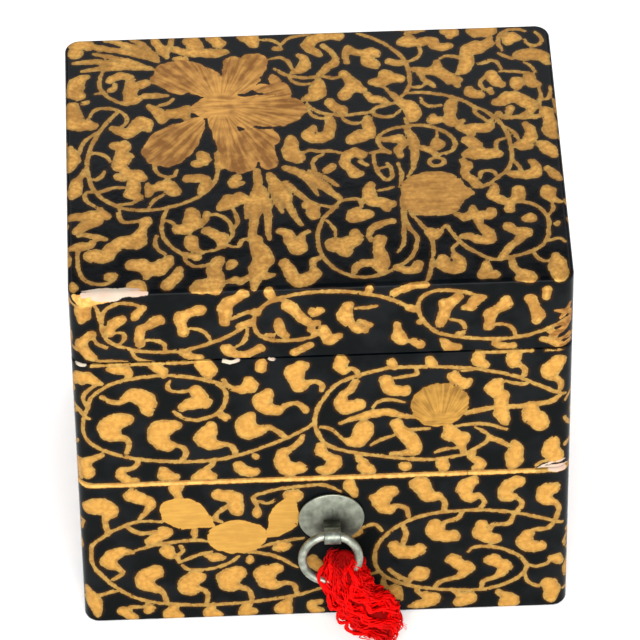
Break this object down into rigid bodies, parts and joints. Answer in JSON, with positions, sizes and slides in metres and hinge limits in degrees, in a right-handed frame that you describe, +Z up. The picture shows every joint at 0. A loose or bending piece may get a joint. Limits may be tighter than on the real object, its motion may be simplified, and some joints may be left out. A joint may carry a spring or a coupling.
{
  "type": "stacked food box",
  "caption": "Small lacquered stacking box with a lift-off lid over deep rectangular tiers, and a ring pull with a silk tassel on its front.",
  "frame": {"origin": "centre of the lower tier's underside", "axes": "+Z up, the front with the ring faces -Y, +X to the right of someone who looks at the front"},
  "size_m": [0.09, 0.0803, 0.083],
  "materials": {
    "lacquer": "black lacquer over wood, gloss worn to satin, with gold scroll painting",
    "fittings": "grey metal with a dull greenish patina",
    "silk": "red silk yarn, crinkled and frayed"
  },
  "bodies": {
    "box": {"lower_tier": "lacquer", "upper_tier": "lacquer", "lid": "lacquer", "ring_plate": "fittings", "ring_eye": "fittings"},
    "ring": {"ring": "fittings", "tassel": "silk"}
  },
  "joints": [
    {"name": "ring_swing", "type": "hinge", "parent": "box", "child": "ring", "pos_m": [0.0012, -0.0403, 0.0258], "axis": [-1, 0, 0], "range_deg": [0, 150]}
  ]
}
